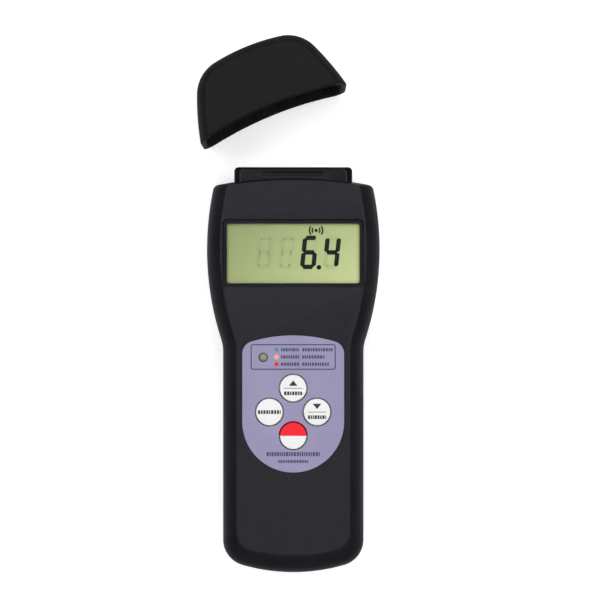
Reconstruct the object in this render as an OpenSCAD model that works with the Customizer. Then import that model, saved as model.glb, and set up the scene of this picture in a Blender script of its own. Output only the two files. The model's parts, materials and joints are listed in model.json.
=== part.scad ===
// Hand-held pinless moisture meter with a loose protective cap.
// Frame: X across the case, Y along it towards the sensor block, Z out of the front face.
// The origin is on the flat back, on the centre plane, midway along the case. Millimetres.

/* [Case] */
// Width across the head, at its widest
head_w = 62; // [61:0.5:63]
// Width of the grip
grip_w = 50.4; // [50.2:0.2:51.2]
// Length of the case from its lower end to its upper corners
case_l = 138.4; // [138:0.2:139]
// Thickness from the back to the flat of the front face
case_t = 25.4; // [25.2:0.1:25.8]
// Height of the joint line between the two shells
split_z = 13; // [13:0.1:13.2]
// Wall of both shells
wall = 2.2; // [2:0.1:2.3]
// Gap between a part that drops into the case and its opening
fit_gap = 0.2; // [0.1:0.05:0.25]

/* [Front panel] */
// Width of the display opening
view_w = 47; // [44:0.5:47.5]
// Height of the display opening
view_h = 21.1; // [19:0.5:21.5]
// Place of the display along the case
view_y = 45; // [44:0.5:45.5]
// Half width of the keypad label
label_hw = 18; // [17:0.5:18.5]
// Upper end of the label on the centre line
label_top = 16; // [15:0.5:17]
// Lower end of the label on the centre line
label_bottom = -32.4; // [-33:0.2:-32]
// Distance of each key from the middle of the four
key_pitch = 8.4; // [8.2:0.1:8.6]
// Middle of the four keys along the case
key_y = -11; // [-11.5:0.5:-10.5]
// Radius of a key's cap
key_r = 4.7; // [4.5:0.1:4.8]
// Radius of a key's hole in the label and the case
key_hole_r = 5.15; // [5:0.05:5.2]
// Travel of a key
key_travel = 0.5; // [0.3:0.1:0.5]

/* [Sensor block] */
// Half width of the block
block_hw = 21.1; // [20.5:0.1:21.2]
// End of the block along the case
block_y1 = 76; // [75.5:0.1:77.5]
// Underside and top of the block
block_z = [3.3, 22.3];
// Plane that the two electrodes lie on, just inside the end of the block
electrode_y = block_y1 - 0.6;

/* [Batteries] */
// Diameter of one cell
cell_d = 10.4; // [10:0.1:10.5]
// Length of one cell with its button
cell_l = 44.5; // [44:0.1:44.5]

/* [Protective cap] */
// Far end of the cap when it is on the meter
cap_top_y = 96.4; // [95:0.2:99]
// Wall of the cap
cap_wall = 1.8; // [1.6:0.1:1.9]
// Angle at which the cap lies beside the meter
cap_turn = 22.25; // [20:0.25:24]
// Point that the cap turns about between the meter and its place beside it
cap_pole = [-67, 64.85];

/* [Hidden] */
$fn = 48;
eps = 0.01;
half_l = case_l / 2;

// The plan of the case: two large side circles, a straight grip, and bowed ends.
head_r = 105;
head_c = [head_w / 2 - head_r, 46.7];
waist_r = 14;
bow_r = 66;
end_corner_r = 9.5;
top_r = 140;
top_y = 72.4;
top_corner_r = 2.2;

// How far the flats of the front and back faces lie inside the plan.
front_in = 5.2;
front_in_end = 7.8;
front_in_top = 1.5;
bevel_h = 7;
back_in = 3;
back_in_end = 4.5;
back_in_top = 1;
back_bevel_h = 5;

// Heights inside the case.
front_in_z = case_t - wall;
bevel_z = case_t - bevel_h;
front_levels = [bevel_z, bevel_z + 2.2, bevel_z + 4.2, bevel_z + 5.8, case_t];
back_levels = [0, 1.2, 2.8, back_bevel_h];
board_z = 16;
board_t = 1.6;
board_top = board_z + board_t;
lip_h = 1.2;
lip_in = 1.15;
lip_gap = 0.1;

// Screws: the case screws go in from the back, the board screws from under the board.
case_screw_at = [[24.4, 63.2], [-24.4, 63.2], [16, -60.5], [-16, -60.5]];
board_screw_at = [[22.6, 25.5], [-22.6, 25.5], [19, -50], [-19, -50]];
case_screw_r = 1.25;
board_screw_r = 1;
head_seat_z = 7;
// The case posts stop below the bevel that runs over them.
case_post_top = 22.4;

// Display.
window_ledge = 1.4;
window_t = 1;
window_seat_z = case_t - 1.2;
lcd_hw = 24.5;
lcd_hh = 13;
lcd_z = 20.9;
lcd_t = 2;

// Keypad label and keys.
label_t = 0.3;
label_seat_z = case_t - 0.35;
label_bow_r = 52;
label_corner_r = 4.5;
key_names = ["hold", "select", "zero", "power"];
key_dirs = [[0, 1], [-1, 0], [1, 0], [0, -1]];
key_top_z = 26;
key_flange_z = [21.9, 22.9];
plunger_top_z = 21.7;
switch_top_z = 20.9;
dome_seat_z = 18.2;
dome_h = 0.9;
led_at = [-10.6, 8.25];
led_r = 1.5;

// Battery bay and its sliding door.
bay_hw = 21.4;
bay_y = [-55.6, -6.4];
bay_wall = 1.2;
bay_roof_z = [13, 14.2];
cell_z = 7.6;
cell_pitch = 10.5;
cell_y0 = -54.2;
door_hw = 21.2;
door_y1 = -3;
door_t = 2;
door_gap = 0.2;
rail_w = 0.9;
rail_z = [1.1, 1.9];
plate_t = 0.4;

// Cap.
cap_gap = 0.3;
cap_top_r = 75;
cap_corner_r = 13.5;
lip_c = [0, top_y - top_r];
lip_r = top_r + cap_gap;
lip_points = 5;
cap_rib_x = [5, 12.5, 20];
cap_rib_w = 1.4;
cap_rib_y = 73.6;
// How far the flat of the cap's front lies inside its plan.
cap_front_in = 3.4;

// ---------- Geometry helpers ----------

// Points along an arc, leaving out its first point.
function arc(c, r, a0, a1, n) =
    [for (i = [1:n]) c + r * [cos(a0 + (a1 - a0) * i / n), sin(a0 + (a1 - a0) * i / n)]];

// Direction from a to b in degrees.
function heading(a, b) = atan2(b[1] - a[1], b[0] - a[0]);

// The point at distance ra from a and rb from b, on the right of the line from a to b.
function meet(a, ra, b, rb) =
    let (d = norm(b - a),
         along = (ra * ra - rb * rb + d * d) / (2 * d),
         off = sqrt(ra * ra - along * along),
         u = (b - a) / d)
    a + along * u + off * [u[1], -u[0]];

// A closed plan from the points of its right side, first and last on the centre line.
function mirrored(side) =
    concat(side, [for (i = [len(side) - 2:-1:1]) [-side[i][0], side[i][1]]]);

// The plan of the case, moved in by side_in, end_in and top_in.
function case_plan(side_in = 0, end_in = 0, top_in = 0) =
    let (grip = grip_w / 2 - side_in,
         // The waist is a fillet between the grip's straight and the head's circle.
         waist_x = grip_w / 2 + waist_r,
         waist_c = [waist_x, head_c[1]
                    - sqrt(pow(head_r + waist_r, 2) - pow(waist_x - head_c[0], 2))],
         waist_a = heading(waist_c, head_c),
         corner_r = max(end_corner_r - side_in * 0.6, 1),
         bow_c = [0, -half_l + end_in + bow_r],
         corner_x = grip - corner_r,
         corner_c = [corner_x, bow_c[1] - sqrt(pow(bow_r - corner_r, 2) - pow(corner_x, 2))],
         bow_a = heading(bow_c, corner_c),
         tip_r = max(top_corner_r - top_in, 0.8),
         top_c = [0, top_y - top_in - top_r],
         tip_c = meet(top_c, top_r - tip_r, head_c, head_r - side_in - tip_r),
         tip = abs(tip_c[0]) * [1, 0] + [0, tip_c[1]])
    mirrored(concat(
        [bow_c - [0, bow_r]],
        arc(bow_c, bow_r, -90, bow_a, 3),
        arc(corner_c, corner_r, bow_a, 0, 4),
        [[grip, waist_c[1]]],
        arc(waist_c, waist_r + side_in, 180, waist_a, 3),
        arc(head_c, head_r - side_in, waist_a - 180, heading(head_c, tip), 8),
        arc(tip, tip_r, heading(head_c, tip), heading(top_c, tip), 2),
        arc(top_c, top_r, heading(top_c, tip), 90, 3)));

// The edge of the cap as it sits on the meter, moved in by d: from its right lip corner,
// round its end, to its left lip corner.
function cap_edge(d) =
    let (end_c = [0, cap_top_y - cap_top_r],
         corner = meet(end_c, cap_top_r - cap_corner_r, head_c, head_r - cap_corner_r),
         foot = cap_foot(d),
         side = concat(
            [foot],
            arc(head_c, head_r - d, heading(head_c, foot), heading(head_c, corner), 5),
            arc(corner, cap_corner_r - d, heading(head_c, corner), heading(end_c, corner), 6),
            arc(end_c, cap_top_r - d, heading(end_c, corner), 90, 3)))
    concat(side, [for (i = [len(side) - 2:-1:0]) [-side[i][0], side[i][1]]]);

// The right corner of the cap's lip for the same move. The lip follows the top of the case.
function cap_foot(d) =
    let (foot = meet(lip_c, lip_r, head_c, head_r - d)) [abs(foot[0]), foot[1]];

// Points along the lip between its corners, from right to left.
function cap_lip(d) =
    let (a = heading(lip_c, cap_foot(d)))
    [for (i = [1:lip_points]) let (b = a + (180 - 2 * a) * i / (lip_points + 1))
        lip_c + lip_r * [cos(b), sin(b)]];

// A rectangle with rounded corners, from low to high, as a plan of 4 * (n + 1) points.
function round_rect(low, high, r, n = 3) =
    let (c = [[high[0] - r, low[1] + r, -90], [high[0] - r, high[1] - r, 0],
              [low[0] + r, high[1] - r, 90], [low[0] + r, low[1] + r, 180]])
    [for (k = c) for (i = [0:n])
        [k[0], k[1]] + r * [cos(k[2] + 90 * i / n), sin(k[2] + 90 * i / n)]];

// A solid through plans of equal length: levels = [[z, plan], ...]. The levels run up the
// outside, and may go on over a rim and down the inside of a hollow, or the other way round.
module loft(levels) {
    n = len(levels[0][1]);
    last = (len(levels) - 1) * n;
    points = [for (l = levels) for (p = l[1]) [p[0], p[1], l[0]]];
    walls = [for (r = [0:len(levels) - 2]) for (i = [0:n - 1])
        let (j = (i + 1) % n, a = r * n, b = a + n)
        each [[a + i, b + i, b + j], [a + i, b + j, a + j]]];
    floor_face = [for (i = [0:n - 1]) i];
    roof_face = [for (i = [n - 1:-1:0]) last + i];
    polyhedron(points, concat(walls, [floor_face, roof_face]));
}

// A tube of radius r along points, with a given number of sides.
module tube(path, r, sides = 6) {
    n = len(path);
    function dir(i) = let (v = path[min(i + 1, n - 1)] - path[max(i - 1, 0)]) v / norm(v);
    function across(d) = let (u = cross(d, abs(d[2]) < 0.9 ? [0, 0, 1] : [1, 0, 0])) u / norm(u);
    points = [for (i = [0:n - 1])
        let (d = dir(i), u = across(d), v = cross(d, u))
        for (s = [0:sides - 1])
            path[i] + r * (cos(360 * s / sides) * u + sin(360 * s / sides) * v)];
    walls = [for (i = [0:n - 2]) for (s = [0:sides - 1])
        let (t = (s + 1) % sides, a = i * sides, b = a + sides)
        each [[a + s, b + s, b + t], [a + s, b + t, a + t]]];
    start_face = [for (s = [0:sides - 1]) s];
    end_face = [for (s = [sides - 1:-1:0]) (n - 1) * sides + s];
    polyhedron(points, concat(walls, [start_face, end_face]));
}

// A plate between two heights.
module plate(z0, z1) {
    translate([0, 0, z0])
        linear_extrude(z1 - z0)
            children();
}

// A block between two corners.
module block(low, high) {
    translate(low)
        cube(high - low);
}

// A cylinder between two heights.
module post(at, r, z0, z1) {
    translate([at[0], at[1], z0])
        cylinder(r = r, h = z1 - z0);
}

// The share of the front inset at height z: nil below the bevel, 1 at the flat.
function front_share(z) =
    let (t = max(z - bevel_z, 0) / bevel_h) 0.15 * t + 0.85 * t * t;

// The share of the back inset at height z.
function back_share(z) = pow(max(back_bevel_h - z, 0) / back_bevel_h, 2);

function front_plan(z) =
    let (f = front_share(z)) case_plan(f * front_in, f * front_in_end, f * front_in_top);

function back_plan(z) =
    let (f = back_share(z)) case_plan(f * back_in, f * back_in_end, f * back_in_top);

// ---------- Shells ----------

// The front shell: down its inside, over the rim, and up its outside. The top is cut flat,
// and a plate makes the flat ceiling.
module front_shell() {
    groove_z = split_z + lip_h + lip_gap;
    difference() {
        loft(concat(
            [[front_in_z + 1, case_plan(5, 9, wall + 1)],
             [bevel_z, case_plan(wall, wall, wall)],
             [groove_z, case_plan(wall, wall, wall)],
             [groove_z, case_plan(lip_in, lip_in, lip_in)],
             [split_z, case_plan(lip_in, lip_in, lip_in)]],
            [for (z = concat([split_z], front_levels, [case_t + 0.5])) [z, front_plan(min(z, case_t))]]));
        block([-40, -80, case_t], [40, 80, case_t + 2]);
    }
    plate(front_in_z, front_in_z + 1.3) polygon(case_plan(4.4, 7, 2.4));
}

// The rear shell: up its outside, over the lip, and down its inside. The back is cut flat,
// and a plate makes the flat floor.
module rear_shell() {
    lip = lip_in + lip_gap;
    difference() {
        loft(concat(
            [for (z = concat([-0.5], back_levels, [split_z])) [z, back_plan(max(z, 0))]],
            [[split_z, case_plan(lip, lip, lip)],
             [split_z + lip_h, case_plan(lip, lip, lip)],
             [split_z + lip_h, case_plan(wall, wall, wall)],
             [back_bevel_h, case_plan(wall, wall, wall)],
             [wall - 1, case_plan(back_in + 1.4, back_in_end + 1.4, back_in_top + wall)]]));
        block([-40, -80, -2], [40, 80, 0]);
    }
    plate(0.6, wall) polygon(case_plan(3.2, 4.3, 1.8));
}

// The opening in the upper wall that the sensor block passes through.
module block_opening() {
    block([-block_hw - fit_gap, 60, block_z[0] - fit_gap],
          [block_hw + fit_gap, 80, block_z[1] + fit_gap]);
}

module front_case() {
    color("#2b2c31")
    difference() {
        union() {
            front_shell();
            for (p = case_screw_at)
                post(p, 2.8, split_z + 0.2, case_post_top);
            for (p = board_screw_at)
                post(p, 2.2, board_top, front_in_z + 0.6);
        }
        block_opening();
        // Seat and opening for the display window.
        block([-view_w / 2 - window_ledge, view_y - view_h / 2 - window_ledge, window_seat_z],
              [view_w / 2 + window_ledge, view_y + view_h / 2 + window_ledge, case_t + 1]);
        block([-view_w / 2, view_y - view_h / 2, 20],
              [view_w / 2, view_y + view_h / 2, case_t + 1]);
        // Seat for the label, and the holes under it.
        plate(label_seat_z, case_t + 1) label_plan(0.1);
        for (d = key_dirs)
            post([0, key_y] + key_pitch * d, key_hole_r, 20, case_t + 1);
        post(led_at, led_r + 0.15, 20, case_t + 1);
        for (p = case_screw_at)
            post(p, case_screw_r, split_z - 1, case_post_top - 0.9);
        for (p = board_screw_at)
            post(p, board_screw_r, board_top - 1, 22.4);
    }
}

module rear_case() {
    color("#27282d")
    difference() {
        union() {
            rear_shell();
            // Walls and roof of the battery bay, and the thick floor below it.
            block([-bay_hw - bay_wall, bay_y[0] - bay_wall, 0.5],
                  [bay_hw + bay_wall, bay_y[1] + bay_wall, bay_roof_z[1]]);
            block([-17, -65.5, 1], [17, bay_y[0], 4]);
            for (p = case_screw_at)
                post(p, 2.95, wall - 0.4, split_z);
        }
        // Way for the door: its plate, and the rails at its sides.
        block([-door_hw - door_gap, -half_l - 1, -1], [door_hw + door_gap, door_y1 + door_gap, door_t]);
        block([-door_hw - rail_w - door_gap, -half_l - 1, rail_z[0] - 0.1],
              [door_hw + rail_w + door_gap, door_y1 + door_gap, door_t]);
        block([-bay_hw, bay_y[0], -1], [bay_hw, bay_y[1], bay_roof_z[0]]);
        // Screws: a clearance hole, and a wider way in for the head.
        for (p = case_screw_at) {
            post(p, case_screw_r + 0.15, -1, split_z + 1);
            post(p, 2.15, -1, head_seat_z);
        }
        // Ways for the battery leads through the bay's roof.
        for (x = [-18.5, 18.5])
            post([x, bay_y[1] - 1.8], 1, 12, 15);
        block_opening();
        // Seat for the rating plate.
        block([-17, 14, -1], [17, 44, 0.3]);
    }
}

module battery_door() {
    ridge_y = [for (i = [0:5]) -54 + 2.2 * i];
    color("#27282d")
    difference() {
        union() {
            intersection() {
                loft([for (z = [-0.5, 0, 1.2, 2.8]) [z, back_plan(max(z, 0))]]);
                block([-door_hw, -half_l - 1, 0], [door_hw, door_y1, rail_z[1]]);
            }
            // Rails that run in the grooves of the rear shell.
            for (s = [-1, 1])
                block([min(s * (door_hw - 1), s * (door_hw + rail_w)), -54, rail_z[0]],
                      [max(s * (door_hw - 1), s * (door_hw + rail_w)), door_y1 - 1, rail_z[1]]);
        }
        // Finger ridges.
        for (y = ridge_y)
            block([-9, y, -1], [9, y + 1.1, 0.45]);
    }
}

// ---------- Sensor ----------

module sensor_block() {
    // Plan of the block at one height: its foot is inside the case, its end outside.
    function plan(side_in, end_in) =
        round_rect([-block_hw + side_in, 60.5], [block_hw - side_in, block_y1 - end_in], 1.5);
    color("#1f2024")
    difference() {
        union() {
            loft([[block_z[0], plan(1.4, 0.8)],
                  [block_z[0] + 1.4, plan(0.1, 0)],
                  [block_z[1] - 2.4, plan(0, 0)],
                  [block_z[1] - 0.8, plan(1.1, 0.4)],
                  [block_z[1], plan(2.6, 1.2)]]);
            // Flange that the two shells trap.
            block([-19, 61.6, 2.6], [19, 65.6, 22.9]);
        }
        // Hollow behind the electrodes, open into the case.
        block([-18, 59, 6], [18, 73, 19.6]);
        // Seats of the two electrodes.
        for (s = [-1, 1])
            block([min(s * 3.4, s * 18.6), electrode_y, 7.6], [max(s * 3.4, s * 18.6), 78, 18.4]);
        // Holes for the electrodes' tails.
        for (s = [-1, 1])
            translate([s * 11, 72, 13])
                rotate([-90, 0, 0])
                    cylinder(r = 1.1, h = 5);
        // Slot in the front of the block.
        block([-10.6, 72.6, block_z[1] - 0.8], [10.6, 74.1, block_z[1] + 1]);
    }
}

module sensor_electrodes() {
    color("#b9bcc0")
    for (s = [-1, 1])
        union() {
            block([min(s * 3.5, s * 18.5), electrode_y, 7.7],
                  [max(s * 3.5, s * 18.5), electrode_y + 0.8, 18.3]);
            translate([s * 11, 70.6, 13])
                rotate([-90, 0, 0])
                    cylinder(r = 0.9, h = electrode_y + 0.4 - 70.6);
        }
}

module sensor_board() {
    color("#1d5a35")
    difference() {
        block([-16.5, 68.6, 7], [16.5, 70.2, 18.6]);
        for (s = [-1, 1])
            translate([s * 11, 66, 13])
                rotate([-90, 0, 0])
                    cylinder(r = 1, h = 8);
    }
}

module sensor_leads() {
    color("#8c8f94")
    for (s = [-1, 1])
        tube([[s * 8, 68.5, 11], [s * 8, 66.5, 11.2], [s * 8.4, 64.6, 12.8], [s * 8.8, 63, 15.2],
              [s * 9, 61.8, 17.4], [s * 9, 60.8, 18.7], [s * 9, 60, 18.9], [s * 9, 59.6, 18.4],
              [s * 9, 59.6, 17.7]], 0.35);
}

// ---------- Display ----------

module display_window() {
    w = view_w / 2 + window_ledge - 0.1;
    h = view_h / 2 + window_ledge - 0.1;
    color("#dfe8d8", 0.35)
    block([-w, view_y - h, window_seat_z], [w, view_y + h, window_seat_z + window_t]);
}

module lcd_glass() {
    color("#b8c48c")
    block([-lcd_hw, view_y - lcd_hh, lcd_z], [lcd_hw, view_y + lcd_hh, lcd_z + lcd_t]);
}

module lcd_frame() {
    color("#3a3b40")
    difference() {
        block([-lcd_hw - 0.8, view_y - lcd_hh - 0.8, board_top], [lcd_hw + 0.8, view_y + lcd_hh + 0.8, lcd_z + 1.6]);
        block([-lcd_hw - 0.1, view_y - lcd_hh - 0.1, lcd_z], [lcd_hw + 0.1, view_y + lcd_hh + 0.1, 24]);
        block([-lcd_hw + 2, view_y - lcd_hh + 4, 17], [lcd_hw - 2, view_y + lcd_hh - 4, 24]);
        for (s = [-1, 1])
            block([-22.1, view_y + s * 10.9 - 1.3, 17], [22.1, view_y + s * 10.9 + 1.3, 24]);
    }
}

module zebra_strips() {
    color("#d98a9a")
    for (s = [-1, 1])
        block([-22, view_y + s * 10.9 - 1.2, board_top], [22, view_y + s * 10.9 + 1.2, lcd_z]);
}

// ---------- Electronics ----------

module main_board() {
    side = [[0, -54.5], [22, -54.5], [22, 10], [25.2, 24], [25.2, 60.1], [0, 60.1]];
    color("#1f6b3e")
    difference() {
        plate(board_z, board_top) polygon(mirrored(side));
        for (p = board_screw_at)
            post(p, board_screw_r + 0.1, 15, 19);
    }
}

module processor_chip() {
    color("#18181a")
    block([-6, -40, board_top], [6, -28, board_top + 1.5]);
}

module crystal() {
    color("#c9ccd0")
    plate(board_top, board_top + 3.4)
        hull()
            for (s = [-1, 1])
                translate([12 + s * 3, -34])
                    circle(r = 2.2);
}

module capacitors() {
    color("#2c3a66")
    for (p = [[-13, -30], [-13, -38], [-14, 22]])
        post(p, 2.4, board_top, board_top + 5);
}

module buzzer() {
    color("#151517")
    difference() {
        post([11, -46], 5.5, board_top, board_top + 4.5);
        post([11, -46], 0.9, board_top + 3, board_top + 6);
    }
}

module trimmer() {
    color("#2f6fb0")
    difference() {
        block([9.5, 21, board_top], [14.5, 26, board_top + 3.2]);
        block([10.6, 23.2, board_top + 2.6], [13.4, 23.8, board_top + 4]);
    }
}

module indicator_led() {
    color("#a9ad8c")
    translate([led_at[0], led_at[1], 0])
        union() {
            translate([0, 0, board_top]) cylinder(r = led_r + 0.35, h = 1);
            translate([0, 0, board_top]) cylinder(r = led_r, h = case_t - 0.6 - board_top);
            translate([0, 0, case_t - 0.6]) cylinder(r1 = led_r, r2 = led_r - 0.6, h = 0.6);
        }
}

module switch_bodies() {
    color("#202124")
    for (d = key_dirs)
        difference() {
            translate(concat([0, key_y] + key_pitch * d, board_top))
                translate([-3, -3, 0])
                    cube([6, 6, switch_top_z - board_top]);
            post([0, key_y] + key_pitch * d, 2.5, dome_seat_z, 20.4);
            post([0, key_y] + key_pitch * d, 1.8, 20, 22);
        }
}

module snap_dome(at) {
    // A shallow dished disc whose rim stands on the floor of the switch.
    dome_r = 2.6;
    color("#c8ccd0")
    translate([at[0], at[1], dome_seat_z])
        intersection() {
            translate([0, 0, dome_h - dome_r])
                difference() {
                    sphere(r = dome_r);
                    sphere(r = dome_r - 0.15);
                }
            cylinder(r = 2.4, h = 2);
        }
}

module plunger(at) {
    // At full travel its foot stops just above the dome.
    foot_z = dome_seat_z + dome_h + 0.05 + key_travel;
    color("#e3e0d8")
    union() {
        post(at, 2.2, foot_z, foot_z + 0.55);
        post(at, 1.7, 20.1, plunger_top_z);
    }
}

module key_cap(at, top_colour) {
    color(top_colour)
    union() {
        post(at, 1.7, plunger_top_z, key_flange_z[0] + 0.5);
        post(at, key_hole_r + 0.5, key_flange_z[0], key_flange_z[1]);
        post(at, key_r, key_flange_z[0] + 0.2, key_top_z - 0.3);
        translate([at[0], at[1], key_top_z - 0.3])
            cylinder(r1 = key_r, r2 = key_r - 0.35, h = 0.3);
    }
}

// ---------- Keypad label and rating plate ----------

// The label: a bowed upper edge with round corners, straight sides and a round lower end.
module label_plan(grow = 0) {
    bow_c = [0, label_top - label_bow_r];
    corner_x = label_hw - label_corner_r;
    corner_c = [corner_x, bow_c[1] + sqrt(pow(label_bow_r - label_corner_r, 2) - pow(corner_x, 2))];
    bow_a = heading(bow_c, corner_c);
    end_c = [0, label_bottom + label_hw];
    polygon(mirrored(concat(
        [[0, label_bottom - grow]],
        arc(end_c, label_hw + grow, -90, 0, 12),
        arc(corner_c, label_corner_r + grow, 0, bow_a, 4),
        arc(bow_c, label_bow_r + grow, bow_a, 90, 4))));
}

module keypad_label() {
    color("#9a94b6")
    difference() {
        plate(label_seat_z, label_seat_z + label_t) label_plan();
        for (d = key_dirs)
            post([0, key_y] + key_pitch * d, key_hole_r, 24, 27);
        post(led_at, led_r + 0.15, 24, 27);
    }
}

module rating_plate() {
    color("#b6b8bb")
    block([-16.8, 14.2, 0.05], [16.8, 43.8, 0.3]);
}

// ---------- Batteries ----------

// Centre of cell i across the case, and whether its button points up the case.
function cell_x(i) = (i - 2.5) * cell_pitch;
function cell_up(i) = i % 2 == 0;

module battery_cell(i) {
    button = 1;
    color("#2d4f3a")
    translate([cell_x(i), cell_up(i) ? cell_y0 + 2.2 : cell_y0 + cell_l, cell_z])
        rotate([cell_up(i) ? -90 : 90, 0, 0])
            union() {
                cylinder(r = cell_d / 2, h = cell_l - button);
                cylinder(r = 1.9, h = cell_l);
            }
}

module contact_plates() {
    color("#c9c6b8")
    union() {
        // Upper end: two single plates and one that joins the middle cells.
        for (s = [-1, 1])
            block([min(s * 11.6, s * 19.8), bay_y[1] - plate_t, 3.2], [max(s * 11.6, s * 19.8), bay_y[1], 12]);
        block([-9.4, bay_y[1] - plate_t, 3.2], [9.4, bay_y[1], 12]);
        // Lower end: two plates that join the outer pairs.
        for (s = [-1, 1])
            block([min(s * 1.2, s * 19.8), bay_y[0], 3.2], [max(s * 1.2, s * 19.8), bay_y[0] + plate_t, 12]);
    }
}

// A conical spring on the contact at the flat end of each cell.
module contact_springs() {
    turns = 2.75;
    steps = 8;
    color("#d4d2c8")
    for (i = [1:4]) {
        up = cell_up(i);
        seat = up ? bay_y[0] + plate_t : bay_y[1] - plate_t;
        reach = up ? cell_y0 + 2.2 - seat : cell_y0 + cell_l - seat;
        tube([for (k = [0:turns * steps])
                let (t = k / (turns * steps), r = 3.6 - 1.5 * t, a = 360 * k / steps)
                [cell_x(i) + r * cos(a), seat + reach * (0.12 + 0.76 * t), cell_z + r * sin(a)]],
             0.3, 5);
    }
}

module battery_leads() {
    color("#a23030")
    for (s = [-1, 1])
        tube([[s * 18.5, -7.3, 12.2], [s * 18.5, -8.2, 12.6], [s * 18.5, -8.2, 14.6],
              [s * 18.6, -6, 15.1], [s * 20, -3.6, 15.2], [s * 20.6, -1.4, 15.3], [s * 20.6, -0.8, 15.9]], 0.4);
}

// ---------- Fasteners ----------

// A pan-head screw with a cross recess, its head down.
module screw(at, seat, r, head_r, head_h, tip) {
    difference() {
        union() {
            post(at, r - 0.05, seat - eps, tip);
            post(at, head_r, seat - head_h, seat);
        }
        for (turn = [0, 90])
            translate([at[0], at[1], seat - head_h - eps])
                rotate(turn)
                    translate([-head_r * 0.55, -0.25, 0])
                        cube([head_r * 1.1, 0.5, head_h * 0.5]);
    }
}

module case_screws() {
    color("#9a9ca0")
    for (p = case_screw_at)
        screw(p, head_seat_z, case_screw_r, 2.05, 1.5, 20.5);
}

module board_screws() {
    color("#b0a060")
    for (p = board_screw_at)
        screw(p, board_z, board_screw_r, 1.9, 1.3, 21.8);
}

// ---------- Cap ----------

// The cap's shell as it sits on the meter. Its outer skin has the same section as the
// case, so the two run on, and its inner skin follows a wall's thickness inside it.
module cap_shell() {
    function inset(z) = z > split_z ? front_share(z) * cap_front_in : back_share(z) * back_in;
    levels = concat(back_levels, front_levels);
    inner_scale = 1 - 2 * cap_wall / case_t;
    skins = [[for (z = levels) [z, inset(z)]],
             [for (z = levels) [cap_wall + z * inner_scale, inset(z) + cap_wall]]];
    n = len(cap_edge(0));
    m = len(levels);
    k = lip_points;
    function at(s, j, i) = (s * m + j) * n + i;
    function lip_at(s, side, i) = 2 * m * n + (2 * s + side) * k + i;
    points = concat(
        [for (skin = skins) for (l = skin) for (p = cap_edge(l[1])) [p[0], p[1], l[0]]],
        [for (skin = skins) for (side = [0, 1])
            let (l = skin[side * (m - 1)]) for (p = cap_lip(l[1])) [p[0], p[1], l[0]]]);
    // Walls of one skin: s is 0 for the outer one.
    function walls(s) = [for (j = [0:m - 2]) for (i = [0:n - 2])
        let (a = at(s, j, i), b = at(s, j + 1, i))
        each s == 0 ? [[a, b, b + 1], [a, b + 1, a + 1]] : [[a, b + 1, b], [a, a + 1, b + 1]]];
    // Flats: the back is side 0 and the front is side 1.
    function flat(s, side) = concat(
        [for (i = [0:n - 1]) at(s, side * (m - 1), i)],
        [for (i = [k - 1:-1:0]) lip_at(s, side, i)]);
    function turned(f) = [for (i = [len(f) - 1:-1:0]) f[i]];
    // The loop round the open end of one skin.
    function rim(s) = concat(
        [for (j = [0:m - 1]) at(s, j, 0)], [for (i = [0:k - 1]) lip_at(s, 1, i)],
        [for (j = [m - 1:-1:0]) at(s, j, n - 1)], [for (i = [k - 1:-1:0]) lip_at(s, 0, i)]);
    outer_rim = rim(0);
    inner_rim = rim(1);
    lip_faces = [for (i = [0:len(outer_rim) - 1])
        let (j = (i + 1) % len(outer_rim))
        each [[outer_rim[i], inner_rim[i], inner_rim[j]], [outer_rim[i], inner_rim[j], outer_rim[j]]]];
    polyhedron(points, concat(lip_faces, walls(0), walls(1),
        [flat(0, 0), turned(flat(0, 1)), turned(flat(1, 0)), flat(1, 1)]));
}

module cap_on_meter() {
    union() {
        cap_shell();
        // Ribs that steady the cap on the front and the back of the sensor block.
        for (x = cap_rib_x, s = [-1, 1]) {
            end_y = cap_top_y - 8 - x * x / 60;
            block([s * x - cap_rib_w / 2, cap_rib_y, cap_wall - 0.4],
                  [s * x + cap_rib_w / 2, end_y, block_z[0] - 0.3]);
            block([s * x - cap_rib_w / 2, cap_rib_y, block_z[1] + 0.3],
                  [s * x + cap_rib_w / 2, end_y, case_t - cap_wall + 0.4]);
        }
    }
}

module protective_cap() {
    color("#26272a")
    translate(cap_pole)
        rotate(cap_turn)
            translate(-cap_pole)
                cap_on_meter();
}

// ---------- Nodes ----------

front_case();
rear_case();
battery_door();
sensor_block();
sensor_electrodes();
sensor_board();
sensor_leads();
display_window();
lcd_glass();
lcd_frame();
zebra_strips();
main_board();
processor_chip();
crystal();
capacitors();
buzzer();
trimmer();
keypad_label();
indicator_led();
switch_bodies();
contact_plates();
contact_springs();
battery_leads();
case_screws();
board_screws();
rating_plate();
protective_cap();
for (i = [0:3]) {
    at = [0, key_y] + key_pitch * key_dirs[i];
    key_cap(at, i == 3 ? "#e0263a" : "white");
    plunger(at);
    snap_dome(at);
    battery_cell(i + 1);
}
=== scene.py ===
# %% [markdown]
# # A pinless moisture meter
# The meter is pressed flat against a floorboard and reads how wet it is. It is a two-part
# black case with a display, four round keys on a lavender label, a sensor block at its head
# and a pull-off cap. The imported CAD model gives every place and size; this lesson gives the
# pieces their finished shapes and surfaces.

# %% Load the frame
import json
import math

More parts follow.
